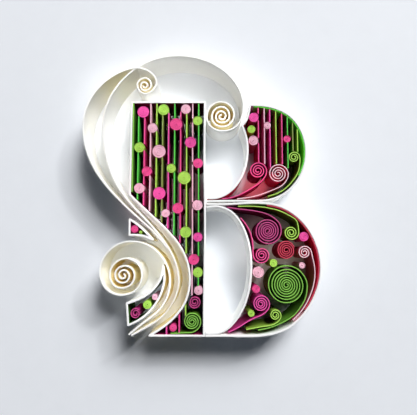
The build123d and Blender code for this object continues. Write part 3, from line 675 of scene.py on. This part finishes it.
outline("stem_outline", [
    [(STEM_RIGHT, STEM_FOOT), (STEM_RIGHT, STEM_TOP)],
    [(STEM_RIGHT, STEM_TOP), (STEM_LEFT, STEM_TOP)],
    [(STEM_LEFT, STEM_TOP), STEM_CURVE[0]],
    STEM_CURVE,
    [STEM_CURVE[-1], (STEM_RIGHT, STEM_FOOT)],
], closed=True, inside=MAROON_SHADE_SIDE, where=all_round)
outline("upper_bowl_outline", [BOWL_OUTER, BOWL_SHOULDER, BOWL_INNER], inside=ROSE_SHADE_SIDE,
        where=lambda x, y: (x < 12.0) & (y < 24.0))
outline("lower_bowl_outline", [LOWER_OUTER])
outline("lower_counter_outline", [COUNTER_LINE])
outline("triangle_outline", anticlockwise(
    [TRIANGLE_UPPER, TRIANGLE_LOWER, [TRIANGLE_LOWER[-1], TRIANGLE_UPPER[0]]]),
    closed=True, inside=MAROON_SHADE_SIDE, where=all_round)
outline("leaf_outline", anticlockwise([LEAF_UPPER, [LEAF_UPPER[-1], LEAF_LOWER[0]], LEAF_LOWER]),
        closed=True, inside=MOSS_SHADE_SIDE, where=all_round)


# ---------------------------------------------------------------- cream flourishes
def flourish(node, points, drop=0.0, look=CREAM, top_highlight=0.0):
    """points are x, y and direction of each step along the strip's middle."""
    xy, d = points[:, :2], points[:, 2:]
    nrm = np.stack([-d[:, 1], d[:, 0]], 1) * FLOURISH_THICK / 2
    mesh = Mesh()
    strip(mesh, (xy + nrm, xy - nrm), FLOURISH_THICK, drop=drop, rows=8, top_highlight=top_highlight)
    mesh.object(node + "_paper", [look], node)


inner_pts = even_line(INNER_LINE, step=0.5, bend=7)
outer_pts = even_line(OUTER_LINE, step=0.5, bend=7)
upper = outer_pts[np.arange(len(outer_pts)) < np.argmax((outer_pts[:, 1] < 15) & (outer_pts[:, 0] < -30))]
near = nearest(inner_pts, upper)
first = np.argmin(np.where(inner_pts[:, 1] > 30, near, 9))
# the crown's faces carry the painted top highlight
flourish("flourish_crown", inner_pts[:first + 1], drop=0.02, look=CREAM_ARCH_SHADED, top_highlight=0.9)
flourish("flourish_inner", inner_pts[first:], drop=0.02, look=CREAM_SOFT)
to_inner = nearest(outer_pts, inner_pts[inner_pts[:, 1] < 8])
late = np.arange(len(outer_pts)) > len(outer_pts) // 2
hidden = np.where(late & (to_inner < 0.22))[0]
stop = hidden[0] + 1 if len(hidden) else len(outer_pts)
flourish("flourish_outer", outer_pts[:stop], look=CREAM_OUTER)
flourish("flourish_loop", even_line(LOOP_LINE, step=0.5, bend=7))

# ---------------------------------------------------------------- coloured fill
for i, (x, colour, spans) in enumerate(STEM_LINES, 1):
    mesh = Mesh()
    for y0, y1 in spans:
        strip(mesh, [[(x, y0), (x, y1)]], 0.33, drop=FILL_DROP, lean=0.2, rows=4)
    node = f"stem_strip_{i:02d}_{colour}"
    mesh.object(node + "_paper", [COLOURS[colour]], node)
for i, (x, colour, spans) in enumerate(BOWL_LINES, 1):
    mesh = Mesh()
    for y0, y1 in spans:
        strip(mesh, [[(x, y0), (x, y1)]], 0.33, drop=FILL_DROP, lean=0.2, rows=4)
    node = f"upper_strip_{i:02d}_{colour}"
    mesh.object(node + "_paper", [COLOURS[colour]], node)
for n, (node, pegs) in enumerate(sorted(PEGS.items())):
    mesh = Mesh()
    colour = next(c for c in ("pale_pink", "hot_pink", "magenta", "lime") if node.endswith(c))
    for k, (x, y, r) in enumerate(pegs):
        sides, thick, lift = wound(x, y, r, 1 if (n + k) % 3 else -1, (n * 53 + k * 97) % 360)
        strip(mesh, sides, thick, drop=PEG_DROP, lean=0.4, rows=2, lift=lift, worn=0.11)
    mesh.object(node + "_paper", [COLOURS[colour]], node)
OWN_LOOK = {   # node: its paper and its slot, where the name doesn't say
    "lower_scroll_plum": ("plum", "magenta"), "lower_scroll_green": ("leaf_green", "green"),
    "foot_scroll_green": ("leaf_green", "green"), "stem_lining_green": ("leaf_green", "green"),
    "upper_lining_green": ("leaf_green", "green"), "foot_coil_magenta": ("plum", "magenta"),
    "leaf_coil_magenta": ("plum", "magenta"),
}


def look_of(node):
    if node in OWN_LOOK:
        return OWN_LOOK[node]
    for colour in ("pale_pink", "hot_pink", "magenta", "crimson", "lime", "green"):
        if node.endswith(colour):
            return colour, colour
    return "plum", "magenta"


def fill(node, line, thick, rows=6, papers=COLOURS):
    look, slot = look_of(node)
    look = node if node in papers else look
    mesh = Mesh()
    strip(mesh, [line], thick, drop=FILL_DROP, rows=rows)
    mesh.object(node + "_paper", [papers[look]], node)


for node, (x, y, r, pitch, angle) in COILS.items():
    fill(node, loose_coil(x, y, r, pitch, angle, FILL_THICK), 0.26, rows=5)
for node, (x, y, r_out, r_in, angle, turns, sense, closing, tail) in SCROLLS.items():
    fill(node, curl(x, y, r_out, r_in, angle, turns, sense, closing) + tail, 0.28, papers=SHADED_TAILS)
for node, line in LININGS.items():
    fill(node, line, 0.34, papers=LININGS_LOOK)

# ---------------------------------------------------------------- floor, light and camera
def plain(name, colour, rough=0.9):
    m = bpy.data.materials.new(name)
    m.use_nodes = True
    b = m.node_tree.nodes["Principled BSDF"]
    b.inputs["Base Color"].default_value = colour
    b.inputs["Roughness"].default_value = rough
    return m


half = 0.7
floor_mesh = bpy.data.meshes.new("floor")
floor_mesh.from_pydata([(-half, -half, -0.0002), (half, -half, -0.0002), (half, half, -0.0002), (-half, half, -0.0002)], [], [(0, 1, 2, 3)])
floor_mesh.materials.append(plain("floor_pale", srgb(226, 228, 231)))
floor = bpy.data.objects.new("floor", floor_mesh)
bpy.context.scene.collection.objects.link(floor)


def area_light(name, azimuth, elevation, distance, size, power, colour=(1, 1, 1)):
    """A square soft light that looks at the middle of the object. Azimuth 0 is +X, 90 is +Y."""
    data = bpy.data.lights.new(name, "AREA")
    data.shape = "DISK"
    data.size = size
    data.energy = power
    data.color = colour
    ob = bpy.data.objects.new(name, data)
    a, e = math.radians(azimuth), math.radians(elevation)
    way = Vector((math.cos(a) * math.cos(e), math.sin(a) * math.cos(e), math.sin(e)))
    ob.location = way * distance + Vector((0, 0, 0.006))
    ob.rotation_euler = way.to_track_quat("Z", "Y").to_euler()
    bpy.context.scene.collection.objects.link(ob)
    return ob


# a broad soft key from the upper right, made of overlapping discs, 13 degrees across
for name, azimuth, elevation, power in (
        ("key_a", 55, 38, 10.7), ("key_b", 55, 50, 9.1), ("key_c", 70, 38, 8.1), ("key_d", 70, 50, 9.7),
        ("key_f", 55, 28, 4.7), ("key_g", 74, 56, 1.8), ("key_h", 70, 28, 2.9)):
    area_light(name, azimuth, elevation, 2.0, 0.456, power)


area_light("key_core", 45, 36, 2.0, 0.14, 6.6)


def pool(name, x, y, radius, power, soft=0.012, colour=(1.0, 0.99, 0.96)):
    """A small soft pool of light from straight above, to open up a white space inside the letter."""
    data = bpy.data.lights.new(name, "SPOT")
    data.energy = power
    data.color = colour
    data.spot_size = 2 * math.atan(radius * MM / 0.6)
    data.spot_blend = 1.0
    data.shadow_soft_size = soft
    ob = bpy.data.objects.new(name, data)
    ob.location = (x * MM, y * MM, 0.6)
    bpy.context.scene.collection.objects.link(ob)


for name, x, y, radius, power in (
        ("pool_arch", -11, 35, 7.0, 15.0), ("pool_arch_right", 5, 34, 5.5, 8.0),
        ("pool_arch_left", -23.0, 33, 5.0, 5.0), ("pool_crescent", -28.0, 33, 4.5, 16.0), ("pool_spiral", -22, -17.3, 2.4, 9.5),
        ("pool_left", -23.5, 9, 4.5, 0.6), ("pool_between", -30.5, 20, 4.0, 4.0)):
    pool(name, x, y, radius, power, colour=(1.0, 0.97, 0.92))
for name, x, y, radius, power in (
        ("pool_arch_a", -16, 35, 4.5, 2.0), ("pool_arch_b", -10.5, 36, 4.5, 2.8), ("pool_arch_c", -4.5, 35.5, 4.5, 2.4),
        ("pool_arch_d", 1.5, 33.5, 4.5, 1.5), ("pool_arch_e", 6.0, 31.0, 3.5, 2.2), ("pool_crescent_a", -25.5, 33.5, 2.5, 8.0),
        ("pool_crescent_b", -30.0, 29.5, 3.4, 4.0)):
    pool(name, x, y, radius, power, soft=0.003, colour=(1.0, 0.97, 0.92))
for name, x, y, radius, power in (
        ("pool_upper", 4.8, 12.5, 8.5, 5.2), ("pool_lower", 5.4, -10, 8.5, 3.8), ("pool_scroll", 3.6, 24.6, 4.0, 7.0)):
    pool(name, x, y, radius, power, soft=0.002, colour=(1.0, 1.0, 1.0))
for name, x, y, radius, power in (
        ("pool_loop", -23, -16, 6.0, 0.8), ("pool_loop_right", -17.2, -14.0, 4.0, 3.6),
        ("pool_sweep_a", -13.6, -5.2, 3.2, 5.0), ("pool_sweep_b", -11.0, -11.2, 3.2, 5.0), ("pool_sweep_c", -9.6, -17.4, 3.2, 5.0),
        ("pool_sweep_d", -11.0, -23.2, 3.0, 5.0), ("pool_sweep_e", -14.2, -29.2, 2.6, 4.0), ("pool_sweep_f", -17.4, 0.6, 3.2, 3.0)):
    pool(name, x, y, radius, power, soft=0.004, colour=(0.98, 0.99, 1.0))
pool("pool_stem", -13, 5, 15.0, 2.0, soft=0.002, colour=(1.0, 0.44, 0.54))
pool("pool_rose", 13.0, 7.0, 5.6, 7.0, soft=0.002, colour=(1.0, 0.16, 0.20))
pool("pool_bowl", 16.5, -12.0, 12.0, 2.2, soft=0.003, colour=(1.0, 0.80, 0.64))
world = bpy.data.worlds.new("studio")
bpy.context.scene.world = world
world.use_nodes = True
sky = world.node_tree.nodes["Background"]
sky.inputs["Color"].default_value = (0.60, 0.76, 1.0, 1.0)
sky.inputs["Strength"].default_value = 0.039
# past the floor's edge the studio wall is pale, though little light comes from it
wall = world.node_tree.nodes.new("ShaderNodeBackground")
wall.inputs["Color"].default_value = (0.60, 0.62, 0.65, 1.0)
rays = world.node_tree.nodes.new("ShaderNodeLightPath")
either = world.node_tree.nodes.new("ShaderNodeMixShader")
world.node_tree.links.new(rays.outputs["Is Camera Ray"], either.inputs[0])
world.node_tree.links.new(sky.outputs[0], either.inputs[1])
world.node_tree.links.new(wall.outputs[0], either.inputs[2])
world.node_tree.links.new(either.outputs[0], world.node_tree.nodes["World Output"].inputs["Surface"])

cam_data = bpy.data.cameras.new("camera")
cam = bpy.data.objects.new("camera", cam_data)
bpy.context.scene.collection.objects.link(cam)
cam_data.sensor_width = 36.0
cam_data.sensor_fit = "HORIZONTAL"
cam_data.lens = 36.0 * 400.0 / 417.0
cam_data.clip_start = 0.005
cam_data.clip_end = 20.0
tilt = math.radians(6.0)
cam.location = (0.0, -0.1052 * math.sin(tilt), TOP * MM + 0.1052 * math.cos(tilt))
cam.rotation_euler = (tilt, 0.0, 0.0)
bpy.context.scene.camera = cam

# light bounces many times between the white strips
bpy.context.scene.cycles.max_bounces = 24
bpy.context.scene.cycles.diffuse_bounces = 20

view = bpy.context.scene.view_settings
view.view_transform = "Standard"
view.look = "None"
view.exposure = 0.0
view.gamma = 1.0

bpy.context.view_layer.update()
